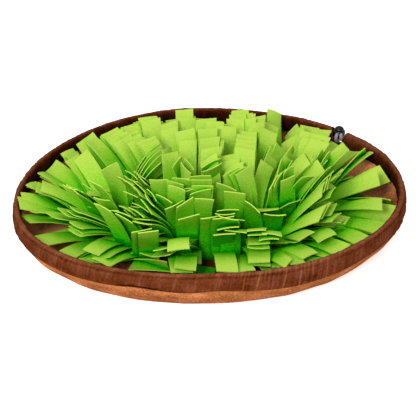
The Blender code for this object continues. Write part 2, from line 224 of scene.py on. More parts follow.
def closeSeams(piece):
    # joins the points that lie on each other and turns every face outwards
    shape = bmesh.new()
    shape.from_mesh(piece.data)
    bmesh.ops.remove_doubles(shape, verts=shape.verts, dist=0.00001)
    bmesh.ops.recalc_face_normals(shape, faces=shape.faces)
    shape.to_mesh(piece.data)
    shape.free()


def finishPiece(piece, slotName, *replaced):
    # the piece's place goes into its mesh, and it rides on the mat's one body
    pick(piece)
    bpy.ops.object.transform_apply(location=True, rotation=True, scale=True)
    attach(piece, "root")
    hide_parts(*replaced)
    return piece


def clothFrom(name, across, along, placeOf, toneOf, flatOf):
    # a grid whose points go, by their shares along and across, to their places on the cloth, with
    # how dark or pale it is there; the UV map becomes the flat cut in metres
    deselectAll()
    bpy.ops.mesh.primitive_grid_add(x_subdivisions=along, y_subdivisions=across, size=1)
    piece = bpy.context.object
    mesh = piece.data
    piece.name = mesh.name = name
    tone = mesh.attributes.new("tone", "FLOAT", "POINT")
    for vertex, value in zip(mesh.vertices, tone.data):
        shares = vertex.co.x + 0.5, vertex.co.y + 0.5
        vertex.co = placeOf(*shares)
        value.value = toneOf(*shares)
    mesh.uv_layers.active.name = "UVMap"
    for loop in mesh.uv_layers.active.data:
        loop.uv = flatOf(*loop.uv)
    mesh.update()
    return piece


def thicken(piece, thickness, **settings):
    applyModifier(piece, "thickness", "SOLIDIFY", thickness=thickness, offset=0, **settings)


# ---------- camera, floor and lights ----------
camera = {
    "distance": 2.5,
    "elevation": math.radians(26.55),
    "roll": math.radians(-2.10),
    "focalPixels": 2021,
    "framePixels": 416,
    "sensorMm": 36,
    "target": Vector((0, 0, 0.03)),
    "targetPixel": (208.7, 201.7),
}


def makeCamera():
    bpy.ops.object.camera_add()
    eye = bpy.context.object
    eye.name = "camera"
    elevation, distance = camera["elevation"], camera["distance"]
    back = Vector((0, -math.cos(elevation), math.sin(elevation)))
    eye.location = camera["target"] + back * distance
    middle = camera["framePixels"] / 2
    right, down = ((middle - pixel) / camera["focalPixels"] * distance for pixel in camera["targetPixel"])
    aim = camera["target"] + Vector((right, 0, -down / math.cos(elevation)))
    turn = (aim - eye.location).to_track_quat("-Z", "Y").to_matrix()
    turn = turn @ Matrix.Rotation(camera["roll"], 3, "Z")
    eye.rotation_euler = turn.to_euler()
    camera["place"], camera["turn"] = eye.location.copy(), turn
    eye.data.sensor_width = camera["sensorMm"]
    eye.data.lens = camera["focalPixels"] * camera["sensorMm"] / camera["framePixels"]
    eye.data.clip_end = 10
    bpy.context.scene.camera = eye


studio = {
    "floorSize": 8,
    "floorDrop": 0.0002,
    "floorColour": "#F6F5F3",
    "floorGlow": 0.6,
    "skyColour": "#FFFFFF",
    "skyStrength": 0.95,
    # soft boxes: name, place, size and power in watts
    "softBoxes": (
        ("keyBox", (-0.7, -2.1, 1.4), 0.8, 64),
        ("topBox", (-0.2, -0.3, 2.2), 1.0, 6),
        ("fillBox", (1.0, -2.2, 1.0), 1.4, 12),
    ),
}


def makeStudio():
    deselectAll()
    bpy.ops.mesh.primitive_plane_add(size=studio["floorSize"], location=(0, 0, -studio["floorDrop"]))
    floor = bpy.context.object
    floor.name = "studioFloor"
    # matt studio paper, lit from behind: it hardly keeps a shadow
    glow = {"Emission_Color": studio["floorColour"], "Emission_Strength": studio["floorGlow"]}
    paper, _ = newMaterial("studioPaper", Base_Color=studio["floorColour"], Roughness=0.9, **glow)
    floor.data.materials.append(paper)

    world = bpy.data.worlds.new("softSky")
    world.use_nodes = True
    background = world.node_tree.nodes["Background"]
    background.inputs["Color"].default_value = linearColour(studio["skyColour"])
    background.inputs["Strength"].default_value = studio["skyStrength"]
    bpy.context.scene.world = world

    for name, place, size, power in studio["softBoxes"]:
        bpy.ops.object.light_add(type="AREA", location=place)
        box = bpy.context.object
        box.name = name
        box.data.shape = "DISK"
        box.data.size = size
        box.data.energy = power
        box.rotation_euler = (camera["target"] - Vector(place)).to_track_quat("-Z", "Y").to_euler()
    bpy.context.scene.view_settings.view_transform = "Standard"


makeCamera()
makeStudio()
print("camera and studio ready")


# ---------- base cloth: one round of canvas, its edge turned up ----------
def canvasMaterial(name, cloth):
    # plain-woven cloth: dead matt, its threads barely seen, paler and darker in soft patches and
    # specks, and toned by the piece's tone, which holds its stains and painted light and shade; the
    # specks are loose fibre ends, far finer on the real cloth and drawn this coarse (2.6 mm) to show at all
    material, shader = newMaterial(name, Roughness=1.0, Specular_IOR_Level=0.0)
    place = addNode(material, "UVMap", {"uv_map": "UVMap"}).outputs["UV"]
    settings = {"Scale": 60, "Detail": 6, "Roughness": 0.7}
    patches = addNode(material, "TexNoise", settings, Vector=place)
    settings = {"Scale": 380, "Detail": 3, "Roughness": 0.6}
    specks = addNode(material, "TexNoise", settings, Vector=place)
    # one wave goes over a thread and under the next
    threads = []
    settings = {"Scale": 500 / cloth["threadMm"] / math.pi, "Distortion": 1.6, "Detail": 2}
    for way in ("X", "Y"):
        settings["bands_direction"] = way
        threads.append(addNode(material, "TexWave", settings, Vector=place).outputs["Fac"])
    weave = addNode(material, "Math", {"operation": "MULTIPLY"}, i0=threads[0], i1=threads[1])
    tone = addNode(material, "Attribute", {"attribute_name": "tone"}).outputs["Fac"]
    shares = (patches.outputs["Fac"], 0.7), (weave.outputs[0], 0.06), (specks.outputs["Fac"], cloth["grain"])
    tone = addShares(material, tone, shares)
    # the patches and specks lighten and darken alike, so their mean is taken off
    settings = {"operation": "SUBTRACT", 1: 0.36 + cloth["grain"] / 2}
    tone = addNode(material, "Math", settings, i0=tone).outputs[0]
    colourByTone(material, shader, tone, cloth["colours"])
    addRelief(material, shader, weave.outputs[0], 0.3, 0.0004)
    return material


baseCloth = {
    "colours": ((0.0, "#5C2A0C"), (0.4, "#8A5432"), (0.75, "#B67446"), (1.0, "#D48E58")),
    "tones": ((0.0, 0.70), (0.54, 0.70), (0.58, 0.30), (0.90, 0.30), (0.96, 0.14), (1.0, 0.1)),
    "stain": 0.25,
    # the felt keeps the light off the floor's front, and light falls in right of the lock and left
    "shades": ((-95, 35, -0.8, 0.54), (27, 14, 0.7, 1.0), (-172, 25, 0.4, 1.0)),
    "threadMm": 1.7,
    "grain": 1.2,
    "radialSteps": 60,
    "roundSteps": 400,
    # how much of the way across is floor, and how much of the round is turned up past it
    "floorShare": 0.55,
    "turnedUp": 0.052,
    # the wall's section, from the floor's edge up to the seam: shares of the way out and up
    "wall": ((0.00, 0.00), (0.24, 0.09), (0.50, 0.32), (0.78, 0.62), (1.00, 0.90), (1.00, 1.00)),
    "edgeInset": 0.0035,
    "tuckUp": 0.004,
    # folds: how deep, how many, and their strength, which swells this many times around
    "foldDepth": 0.0016,
    "folds": 22,
    "foldStrength": (0.6, 0.4),
    "foldSwells": 5,
    "wrinkleDepth": 0.0014,
    # how fine wrinkles and stains are: around, and upwards or across
    "wrinkleScale": (9, 18),
    "stainScale": (7, 9),
}


def makeBaseCloth():
    topRadius = mat["rimRadius"] - baseCloth["edgeInset"] - mat["clothThickness"] / 2
    lift = mat["clothThickness"] / 2
    flat, floorShare = mat["flatRadius"], baseCloth["floorShare"]
    wall = [
        Vector((flat + (topRadius - flat) * out, 0, lift + (seamHeight - lift) * up))
        for out, up in baseCloth["wall"]
    ]
    wall.append(wall[-1] + Vector((0, 0, baseCloth["tuckUp"])))

    def placeOf(along, across):
        angle = along * math.tau
        if across < floorShare:
            radius, height = flat * across / floorShare, lift
        else:
            section = smoothPath(wall, (across - floorShare) / (1 - floorShare))
            radius, height = section.x, section.z
        # upright folds and small wrinkles, strongest halfway up the wall
        hump = math.sin(math.pi * limited((height - lift) / seamHeight))
        mean, swell = baseCloth["foldStrength"]
        strength = mean + swell * math.sin(baseCloth["foldSwells"] * angle + 1)
        push = baseCloth["foldDepth"] * strength * hump * math.cos(baseCloth["folds"] * angle)
        around, upwards = baseCloth["wrinkleScale"]
        wrinkle = noise.noise(onCircle(around, angle, height * upwards))
        push += baseCloth["wrinkleDepth"] * wrinkle * (0.3 + hump)
        return uneven(onCircle(max(0.0, radius + (push if across > floorShare else 0)), angle, height))

    def toneOf(along, across):
        angle = along * math.tau
        tone = valueAt(baseCloth["tones"], across)
        around, outwards = baseCloth["stainScale"]
        tone += baseCloth["stain"] * noise.noise(onCircle(around, angle, across * outwards))
        for middle, reach, change, farthest in baseCloth["shades"]:
            if across <= farthest:
                tone += change * nearness(angle, middle, reach)
        return tone

    def flatOf(along, across):
        # the round cut, so the weave runs straight over floor and wall
        reach = flat * across / floorShare
        if across >= floorShare:
            reach = flat + (across - floorShare) / (1 - floorShare) * baseCloth["turnedUp"]
        return onCircle(reach, along * math.tau).xy

    steps = baseCloth["radialSteps"], baseCloth["roundSteps"]
    piece = clothFrom("baseCloth", *steps, placeOf, toneOf, flatOf)
    closeSeams(piece)
    thicken(piece, mat["clothThickness"], use_even_offset=True)
    piece.data.shade_smooth()
    piece.data.materials.append(canvasMaterial("brushedCanvas", baseCloth))
    finishPiece(piece, "base_cloth", "base_cloth")
    return piece


base = makeBaseCloth()
print("base cloth made:", len(base.data.polygons), "faces")

# ---------- casing: a folded strip sewn over the base cloth's edge ----------
casing = {
    "colours": ((0.0, "#140600"), (0.35, "#321305"), (0.55, "#48200D"), (0.8, "#5C321F"), (1.0, "#70442E")),
    # painted light and shade: pale along the rolled crown, where it faces the light from above, and painted
    # shade in the tuck under it, at the seam and inside
    "tones": (
        (0.00, 0.12), (0.03, 0.20), (0.06, 0.56), (0.34, 0.62), (0.37, 0.42), (0.39, 0.46),
        (0.42, 0.76), (0.48, 0.86), (0.54, 0.78), (0.60, 0.50), (0.68, 0.22), (1.00, 0.06),
    ),
    # painted shade of creases pressed into the outer face: angle in degrees and share of the height where
    # each starts and stops, and how dark it is
    "creaseShades": (
        ((-119.0, 0.04), (-112.0, 0.17), 0.50),
        ((-114.0, 0.17), (-103.5, 0.08), 0.75),
        ((-63.0, 0.20), (-57.5, 0.46), 0.25),
        ((-84.0, 0.16), (-79.0, 0.34), 0.20),
    ),
    "outerShare": 0.42,
    "creaseWidth": 0.07,
    # how far across the painted shade in the tuck under the crown lies, how wide and how dark it is
    "tuckShade": (0.383, 0.03, 0.45),
    # slanting streaks, painted light and shade of the gathers: how pale, and where the rim has most of them
    "streaksPerMetre": 430,
    "streakTone": 0.32,
    "streaked": (-74, 15),
    # the inner side is lit where it faces the key light, to the right of the lock
    "litInside": (34, 16),
    "litTone": 0.34,
    "hemWave": 0.0016,
    "tailReach": 0.020,
    "tailInward": 0.0105,
    "tailAlong": 0.008,
    "threadMm": 1.2,
    "grain": 0.5,
    "aroundSteps": 30,
    "alongSteps": 1500,
    # the strip's width before it is folded, and its length beside the rim's that it is gathered to
    "cutWidth": 0.058,
    "gathering": 1.15,
    "clothThickness": 0.0009,
    "mouthGap": 0.008,
    "mouthSlant": 0.0105,
    "slantReach": 0.032,
    "gatherDepth": 0.0010,
    # along the rim: ridges, broad puffs, waves of the hem, soft patches, stretches with streaks, and
    # stretches of the tuck's shadow
    "gathersPerMetre": 190,
    "puffsPerMetre": 42,
    "hemWavesPerMetre": 14,
    "patchesPerMetre": 45,
    "stretchesPerMetre": 9,
    "shadowsPerMetre": 16,
    # the gathers and the hem's waves fade over these lengths before the mouths
    "gatherFade": 0.012,
    "hemFade": 0.020,
    # the section, from the outer foot over the crest to the inner foot: in from the outer or
    # inner face, and a share of the height
    "section": (
        (0.0026, 0.000), (0.0008, 0.035), (0.0000, 0.200), (0.0000, 0.500), (0.0009, 0.760),
        (0.0018, 0.930), (0.0048, 1.000), (0.0072, 0.960), (0.0088, 0.800), (0.0095, 0.500),
        (0.0090, 0.200), (0.0078, 0.035), (0.0060, 0.000),
    ),
}


def makeCasing():
    half = casing["clothThickness"] / 2
    high = mat["casingHeight"] - 2 * half
    section = [
        Vector((mat["rimRadius"] - half - inset, 0, seamHeight + half + height * high))
        for inset, height in casing["section"]
    ]
    length = math.tau * mat["rimRadius"] - casing["mouthGap"]
    gap = casing["mouthGap"] / mat["rimRadius"]

    def angleAt(along):
        return mat["lockAngle"] + gap / 2 + along * (math.tau - gap)

    def noiseAt(*place):
        # smooth noise; the bare last numbers below only take each use to its own part of it
        return noise.noise(Vector(place))

    def placeOf(along, across):
        angle = angleAt(along)
        point = smoothPath(section, across)
        up = (point.z - seamHeight) / mat["casingHeight"]
        fromEnd = min(along, 1 - along) * length
        # gathers: upright ridges, irregular, fading at the seam and at the two mouths
        where = along * length
        ridge = noiseAt(where * casing["gathersPerMetre"], across * 1.6, 3.1)
        broad = noiseAt(where * casing["puffsPerMetre"], across * 1.1, 7.7)
        fade = min(1.0, 0.35 + up * 3) * min(1.0, fromEnd / casing["gatherFade"] + 0.25)
        depth = casing["gatherDepth"] * fade
        outward = 1 if across < 0.5 else -1
        crown = 1 - 0.45 * max(0.0, up - 0.75) / 0.25
        point = point + Vector((outward * (ridge * depth * crown + broad * depth * 0.8), 0, 0))
        point.z += ridge * depth * 0.35 * max(0.0, up - 0.8) / 0.2
        # the stitched hem rises and falls
        hem = max(0.0, 1 - up / 0.4) * min(1.0, fromEnd / casing["hemFade"])
        point.z += casing["hemWave"] * hem * noiseAt(where * casing["hemWavesPerMetre"], 2.2, 8.8)
        # the inner layer of the left end hangs loose over the strand beneath it
        hang = max(0.0, 1 - fromEnd / casing["tailReach"]) if along < 0.5 else 0.0
        hang *= limited((across - 0.5) / 0.25)
        point.x -= casing["tailInward"] * hang
        angle -= casing["tailAlong"] / mat["rimRadius"] * hang
        # both mouths slant back towards the crest
        if fromEnd < casing["slantReach"]:
            back = casing["mouthSlant"] * up * (1 - fromEnd / casing["slantReach"]) * (1 - 0.7 * hang)
            angle += math.copysign(back / mat["rimRadius"], 0.5 - along)
        return uneven(onCircle(point.x, angle, point.z))

    def toneOf(along, across):
        # fine slanting streaks, painted light and shade of the gathers, strong in some stretches of the rim
        # and faint in others
        where, angle = along * length, angleAt(along)
        patch = 0.45 + 0.5 * noiseAt(where * casing["stretchesPerMetre"], 5.5, 0.3)
        patch += 0.8 * nearness(angle, *casing["streaked"])
        streak = noiseAt(where * casing["streaksPerMetre"] - across * 7, across * 2.2, 1.7)
        streak = (max(0.0, streak - 0.15) * 1.1 + streak * 0.5) * max(0.2, patch)
        # soft patches, and painted shade in the tuck under the crown, which comes and goes
        tuck = 0.12 * noiseAt(where * casing["patchesPerMetre"], across * 8, 9.1)
        middle, reach, dark = casing["tuckShade"]
        line = max(0.0, 1 - abs(across - middle) / reach)
        tuck += dark * line * max(0.0, noiseAt(where * casing["shadowsPerMetre"], 4.4, 0.9))
        up = (smoothPath(section, across).z - seamHeight) / mat["casingHeight"]
        # painted shade along each crease, darkest at its middle
        for (startAngle, startUp), (stopAngle, stopUp), dark in casing["creaseShades"]:
            share = degreesPast(angle, startAngle) / (stopAngle - startAngle)
            if across < casing["outerShare"] and 0 < share < 1:
                off = abs(up - startUp - (stopUp - startUp) * share) / casing["creaseWidth"]
                tuck -= dark * max(0.0, 1 - off) * math.sin(math.pi * share) ** 0.5
        lit = casing["litTone"] * nearness(angle, *casing["litInside"]) * limited((across - 0.54) / 0.06)
        return valueAt(casing["tones"], across) + casing["streakTone"] * streak + tuck + lit

    def flatOf(along, across):
        return along * length, across * casing["cutWidth"]

    steps = casing["aroundSteps"], casing["alongSteps"]
    piece = clothFrom("gatheredCasing", *steps, placeOf, toneOf, flatOf)
    thicken(piece, casing["clothThickness"])
    piece.data.shade_smooth()
    piece.data.materials.append(canvasMaterial("gatheredCotton", casing))
    finishPiece(piece, "casing_cloth", "casing")
    # the strip's cut length is longer than the rim, because the cord gathers it
    return piece


casingCloth = makeCasing()
print("casing made:", len(casingCloth.data.polygons), "faces")

# ---------- felt strips ----------
felt = {
    "width": 0.024,
    "length": 0.100,
    "acrossSteps": 5,
    "alongSteps": 14,
    "plySpacing": 0.006,
    "fillers": 260,
    "attempts": 6000,
    "pliesBehind": 2,
    "plyAttempts": 5,
    # strips are kept clear of each other only past these rows from the root, so in their outer third;
    # nearer to the roots they do pass through each other
    "rootRows": 9,
    "floorClearance": 0.002,
    # a ply behind another: how far back and aside, how much turned or leant (degrees), and its
    # share of the length
    "plyBack": (0.0035, 0.0065),
    "plyAside": 0.004,
    "plyTurn": 5,
    "plyLean": 3,
    "plyLength": (0.93, 1.0),
    # a filler's lean over its ring's, in degrees
    "fillerLean": (-8, 50),
    # how much strips differ from each other
    "laidLoose": 0.3,
    "plyLoose": 1.0,
    "fillerLoose": 2.0,
    # rows and columns of the points by which it is judged what shows of a strip
    "sampleRows": (-1, -2, -4, -6, -8, -10),
    "sampleColumns": (0, 2, 3, -1),
    # how much of a filler may show between the strips laid by hand, and how many points of a ply
    # may cover those
    "openShare": 0.6,
    "plyCovers": 2,
    "smoothAngle": math.radians(40),
    # strips whose roots are farther apart than this can't touch
    "nearRoots": 0.12,
    # waves of the strips' sway, nod, twist and length around a ring: count, ring's and ply's shift
    "swayWave": (5, 1.0, 0),
    "nodWave": (7, 1.7, 0),
    "twistWave": (9, 0.0, 2),
    "lengthWave": (11, 0.0, 3),
    "nod": math.radians(2),
    "lengthChange": 0.035,
    # where the felt leans less or more: angle, reach, share of the lean
    "leanPatches": ((-97, 26, -0.36), (148, 50, -0.17), (-145, 20, 0.04)),
    # rings: radius, columns, plies, turn, root lean (inner, outer), tip lean, length, sway
    "rings": (
        (0.0165, 4, 2, 20, (0, 1), (2, 9), 0.098, 1),
        (0.0385, 8, 3, 0, (3, 7), (13, 22), 0.100, 3),
        (0.0600, 12, 3, 9, (9, 15), (27, 37), 0.102, 4),
        (0.0815, 17, 3, 0, (17, 26), (42, 53), 0.104, 5),
        (0.1025, 22, 3, 5, (30, 42), (58, 69), 0.104, 6),
        (0.1235, 27, 2, 0, (54, 66), (75, 88), 0.101, 7),
    ),
    # the colour from deep between the strips to the lit tips, and how far off a strip still shades
    # another, and where it all but touches it
    "fade": ((0.10, "#047E02"), (0.26, "#069A02"), (0.44, "#34B006"), (0.66, "#6CAC1A"), (0.98, "#92AE40")),
    "shadeReach": 0.030,
    "touchReach": 0.006,
    "light": (-0.22, -0.78, 0.58),
    # how pale the faces are, and the cut edges, painted paler as a highlight where loose fibre ends catch the
    # light
    "faceTone": -0.98,
    "edgeHighlightTone": -0.84,
}

# The strips that show are laid one by one, as they lie in the camera's frame of 416 pixels: the
# left and right corners of the tip, about where the strip leaves the floor, its bend in degrees,
# the tip's height over the floor in metres where the frame leaves it open, and how many plies lie
# one behind another, with the step between them in pixels
Strip = namedtuple("Strip", "left right root bend height plies step", defaults=(25, None, 1, (0, 0)))
laidStrips = {
    "left": (
        ((21, 192), (22.5, 205), (106, 226), 20), ((18, 196), (20, 209), (105, 230), 20),
        ((37.5, 183), (36, 190), (112, 230)), ((42, 181.5), (41, 189), (113, 229)),
        ((25.5, 185.5), (33, 181), (98, 222)), ((27, 187), (34.5, 182.5), (100, 224)),
        ((38, 172), (46, 173), (92, 214)), ((41, 175), (49, 176), (94, 216)),
        ((46, 172), (56.5, 160.5), (104, 216), 40), ((62, 152), (72, 149.5), (96, 203)),
        ((65, 156), (76.5, 151.5), (106, 208)), ((65.5, 160.5), (77, 156), (107, 210)),
        ((73, 160.5), (88, 150), (113, 222), 30), ((77, 143), (89, 137), (120, 204), 25),
        ((81.5, 140.5), (92.5, 132.8), (134, 205), 25), ((86, 144), (98, 137.5), (138, 208), 25),
        ((60.5, 182.5), (74, 190.5), (112, 246), 35, None, 3, (2.6, 1.4)),
        ((19.5, 215.5), (30, 222.5), (106, 233)), ((30, 209.5), (40, 215), (108, 231)),
        ((46, 211.5), (58.5, 221), (114, 236)), ((57, 208), (69, 217), (115, 235)),
        ((66.5, 209.5), (78.5, 218.5), (116, 234)), ((70, 206.5), (81, 214.5), (117, 233)),
        ((68, 230), (82, 237), (122, 240), 30), ((68.5, 226.3), (82.5, 233.3), (122, 239), 30),
        ((69, 222.6), (83, 229.6), (123, 238), 30), ((32, 236), (46, 246), (115, 238)),
        ((59, 252), (75.5, 257.5), (118, 243)), ((83, 249.5), (99, 255.8), (138, 246), 45),
        ((97, 257), (110, 259), (139, 248), 30), ((91, 258.5), (110, 266.5), (143, 256)),
    ),
    "back left": (
        ((100, 136.5), (118, 126.5), (150, 202), 25, None, 4, (4.3, 2.5)),
        ((98, 165.5), (114, 159), (120, 238), 35, None, 2, (3, 4)),
        ((120.5, 128), (138, 123.5), (158, 200), 25),
        ((119, 137), (136, 131), (160, 207), 25, None, 3, (4, 3)),
        ((138, 118.5), (157, 115.5), (163, 194), 25, None, 2, (3, 2.7)),
        ((161, 124.5), (178, 120.5), (178, 200), 25, None, 2, (0, 6)),
        ((175.5, 109.8), (193, 109.5), (188, 188), 25), ((178, 118), (195.5, 118), (190, 196), 25),
        ((137, 142), (155, 136), (168, 214), 30, None, 2, (3, 3)),
        ((159.5, 144), (157, 163), (126, 212), 75, 0.078, 4, (1.4, 2.8)),
    ),
    "centre left": (
        ((113, 171.5), (131, 180), (158, 246), 35, None, 2, (4, 5)),
        ((89.5, 179.5), (101, 188), (118, 240), 40), ((161, 162), (169, 168), (122, 222), 40, 0.085),
        ((163, 150), (171, 146), (176, 224), 30), ((161, 154.5), (178, 151), (178, 230), 30),
        ((173, 167), (180, 157), (186, 232), 30),
        ((186, 158), (193, 169.5), (186, 236), 30, None, 2, (-4, 4)),
        ((149, 180), (168, 179.5), (166, 256), 30),
        ((167, 181), (183, 184), (178, 260), 30, None, 2, (2, 5)),
        ((155.5, 195), (173, 201.5), (174, 262), 40), ((165, 210), (183, 200.5), (182, 270), 45),
        ((125.5, 170), (138, 179), (170, 240), 40, None, 3, (-1, 5)),
        ((134, 170.5), (145, 180), (171, 242), 40, None, 2, (2, 4)),
        ((129.5, 184.5), (142, 194), (171, 245), 45, None, 2, (-5, 5)),
        ((132, 182.5), (147, 191), (172, 244), 45),
        ((147, 189), (157, 200), (173, 246), 45, None, 2, (-3, 6)),
        ((132, 203.5), (149, 210.5), (172, 250), 45, None, 2, (-4, 5)),
        ((140, 200), (153, 213), (173, 250), 45),
        ((93, 204.5), (112, 209.5), (132, 262), 25, None, 2, (6, 3)),
        ((93, 199.5), (110, 199), (130, 256), 30),
        ((112, 209), (130, 217), (148, 266), 30, None, 2, (3, 5)),
        ((130, 216.5), (150, 222), (172, 256), 55, None, 2, (2, 4)),
        ((118, 206), (137, 214), (168, 248), 50),
    ),
    "back": (
        ((196, 120.5), (216.5, 117.3), (207, 198), 25), ((206, 121.5), (224, 122), (214, 200), 25),
        ((232, 110.5), (248.5, 110), (240, 188), 25, None, 3, (-2.5, 4.4)),
        ((238, 115), (255, 113), (245, 192), 25, None, 2, (1, 5)),
        ((250, 117), (266.5, 115.8), (254, 194), 25, None, 2, (-1, 6)),
        ((173, 132.5), (196.5, 127.5), (190, 208), 25), ((198, 129.5), (217, 127.8), (208, 208), 25),
        ((179, 141), (197, 139.5), (190, 220), 25), ((200, 138.5), (220, 136.5), (210, 216), 25),
        ((202, 149.5), (222, 146), (212, 228), 30), ((216, 125.5), (236, 127), (227, 204), 25),
        ((236, 130), (257.5, 133), (247, 210), 25, None, 5, (-0.4, 4.2)),
        ((237, 149), (254, 161), (232, 228), 55, 0.080),
        ((198, 164), (219, 151.5), (212, 236), 45, None, 3, (2, 5)),
        ((217, 158.5), (236, 152.5), (222, 234), 45, 0.085, 3, (4, 4.5)),
    ),
    "centre": (
        ((190, 176), (211, 175.8), (204, 252), 25, None, 2, (1, 4)),
        ((191, 187), (214, 184.5), (204, 262), 30, None, 2, (-2, 5.5)),
        ((173, 179), (190, 178.5), (184, 256), 30), ((184, 190.5), (201, 188.5), (194, 264), 30),
        ((176, 206), (194, 198.5), (190, 272), 40), ((195, 199), (214, 199), (204, 270), 30),
        ((177.5, 218.8), (200, 215), (190, 272), 45), ((200.5, 217.5), (220, 217.3), (208, 274), 45),
        ((213, 217.2), (234, 218.4), (222, 274), 45), ((220, 217.5), (238, 219.5), (230, 272), 45),
        ((215, 214.5), (235, 214), (226, 266), 60), ((216, 210), (240, 210), (230, 262), 65),
        ((216, 184), (237, 188.5), (226, 264), 30), ((224, 190), (245.5, 195), (232, 268), 30),
        ((223.5, 176.5), (238, 166), (238, 240), 40, None, 3, (6, -0.5)),
        ((249.5, 178.5), (257, 169.5), (274, 232), 40), ((246, 203), (259, 209.5), (258, 262), 45),
    ),
    "front": (
        ((216, 230), (240, 226.3), (230, 266), 60), ((224, 232), (247.5, 231.2), (236, 268), 60),
        ((247, 231.5), (265.5, 229.5), (256, 262), 60, None, 2, (1, 4.5)),
        ((213, 236), (236, 232.7), (226, 272), 50), ((216, 272.5), (239, 271.5), (214, 244), 75),
        ((166, 252.5), (190.5, 247), (184, 274), 120, 0.060),
        ((173, 269), (197, 269.5), (182, 250), 50, None, 2, (-3, 3)),
        ((138, 232.5), (158.5, 231), (150, 270), 20, 0.080),
        ((131.5, 231.5), (152, 229.5), (144, 268), 20, 0.080),
        ((167, 262), (170, 271), (112, 258), 10, 0.015), ((134, 262), (128, 269), (180, 270), 10, 0.010),
        ((246, 243.5), (272, 244.5), (258, 262), 60), ((246, 248), (271, 248.8), (258, 266), 60),
        ((247, 263.5), (271, 262), (252, 238), 65), ((248.5, 266.5), (271, 265), (252, 241), 65),
        ((272, 268), (290, 266), (258, 244), 35, None, 2, (6, -2)),
        ((257, 210.3), (278.5, 210.5), (267, 256), 60), ((264, 215.5), (286, 214.5), (270, 258), 50),
        ((262, 233.8), (282, 235), (268, 262), 60, None, 2, (-3, 5)),
    ),
    "right": (
        ((268, 109), (281, 113.3), (275, 187), 20, None, 2, (-0.5, 5)),
        ((264, 120.5), (278, 128.5), (262, 200), 25, None, 2, (-2, 6)),
        ((283, 137), (298.5, 124), (310, 204), 15, 0.050), ((288, 134), (304, 127), (304, 206), 20, 0.055),
        ((281, 144), (298, 134), (304, 210), 25, 0.060),
        ((300, 125), (320, 128.8), (290, 200), 30, None, 3, (1, 6)),
        ((313, 128), (332, 132), (294, 202), 30, None, 3, (-1, 5.5)),
        ((328.5, 142.5), (339, 154), (298, 200), 35), ((332.5, 140.5), (342.5, 150), (299, 198), 35),
        ((343, 142.5), (349.5, 150.3), (304, 198), 30), ((348.5, 150), (361, 153.2), (306, 198), 30),
        ((364, 152.5), (366.5, 150), (312, 200), 20), ((368, 153), (372.5, 151.3), (314, 202), 20),
        ((307.5, 149.5), (314.5, 160.5), (283, 216), 50, None, 2, (-4, 3)),
        ((306, 172.5), (317.5, 168.3), (286, 220), 45, None, 2, (-3, 6)),
        ((311, 166), (322, 162), (290, 216), 45),
        ((323.5, 150), (325.5, 158), (294, 212), 40, None, 2, (5.5, 1)),
        ((318, 160), (325, 171), (290, 216), 40), ((262, 159.3), (272.5, 168.3), (252, 236), 40, 0.080),
        ((267, 153), (277, 161.5), (254, 230), 40, 0.080),
        ((270.5, 146.5), (281.3, 153.8), (257, 222), 40, 0.075),
        ((270.5, 142.3), (281, 150), (257, 218), 40, 0.075),
        ((275.5, 143.5), (286.5, 151.5), (260, 218), 40, 0.075),
        ((281, 159), (285.5, 167), (266, 234), 40, 0.080),
        ((288, 149.5), (295, 157.5), (270, 222), 40, 0.075, 2, (-2, 6)),
        ((291.5, 145), (295.8, 152), (272, 216), 40, 0.070),
        ((283, 172), (293, 166.5), (286, 244), 25, None, 2, (0, 9)),
        ((275, 180), (285, 169), (279, 246), 25, None, 2, (-2.5, 5)),
        ((269.5, 190), (277, 175), (272, 246), 25),
        ((322, 168), (327, 160), (272, 238), 25, None, 3, (3, 5)),
        ((341.5, 168), (344, 170), (290, 226), 20), ((337, 177), (340.5, 174), (288, 230), 20),
        ((326.5, 189), (331, 174.5), (282, 234), 20, None, 3, (-3, 3.5)),
        ((378, 162.5), (392, 184.5), (310, 206), 15, 0.042),
        ((377, 170.5), (380.5, 186), (306, 210), 15, 0.052),
        ((382.5, 200), (382, 208.5), (300, 214), 15, 0.040),
        ((391, 200.5), (392.5, 207), (318, 196), 15, 0.024),
        ((397, 206.5), (388, 224), (316, 212), 15, 0.020), ((391, 225), (376, 234), (302, 220), 15, 0.030),
        ((370, 236.5), (354, 245.5), (294, 228), 25, 0.038),
        ((351, 246.5), (333, 254), (276, 240), 35, 0.036), ((336, 233), (318, 243), (262, 236), 35, 0.052),
        ((317, 251), (303, 260.5), (246, 246), 35), ((305, 262), (292, 266), (240, 250), 35),
        ((332.5, 201.3), (320.5, 219), (268, 243), 20, None, 2, (-4, 3)),
        ((313.5, 230.5), (299, 242), (246, 246), 25, None, 2, (-4, 3)),
        ((291, 261), (286, 267), (236, 254), 35),
    ),
}

# In the camera's frame: the felt's upper edge against the rim, and the bare spots between strips
feltTop = (
    (14, 200), (20, 192), (26, 184), (38, 172), (46, 171), (57, 160), (62, 152), (76, 142), (91, 133),
    (98, 137), (118, 127), (138, 119), (157, 116), (161, 120), (175, 119), (176, 110), (193, 110),
    (196, 118), (224, 121), (232, 111), (248, 110), (256, 114), (267, 115), (268, 109), (281, 113),
    (282, 136), (298, 124), (331, 131), (333, 138), (340, 146), (343, 143), (350, 150), (361, 153),
    (372, 151), (373, 163), (378, 162), (392, 184), (398, 206), (402, 240),
)
bareSpots = (
    ((345, 171), (360, 160), (373, 163), (352, 172)),
    ((376, 195), (392, 186), (399, 206), (392, 201)),
    ((19, 203), (29, 207), (37, 215), (55, 219), (21, 215)),
    ((22, 219), (30, 223), (68, 227), (46, 233), (32, 236)),
    ((48, 248), (60, 241), (80, 239), (68, 246), (58, 252)),
)
rootHeight = mat["clothThickness"] + 0.0003 + mat["feltThickness"] / 2


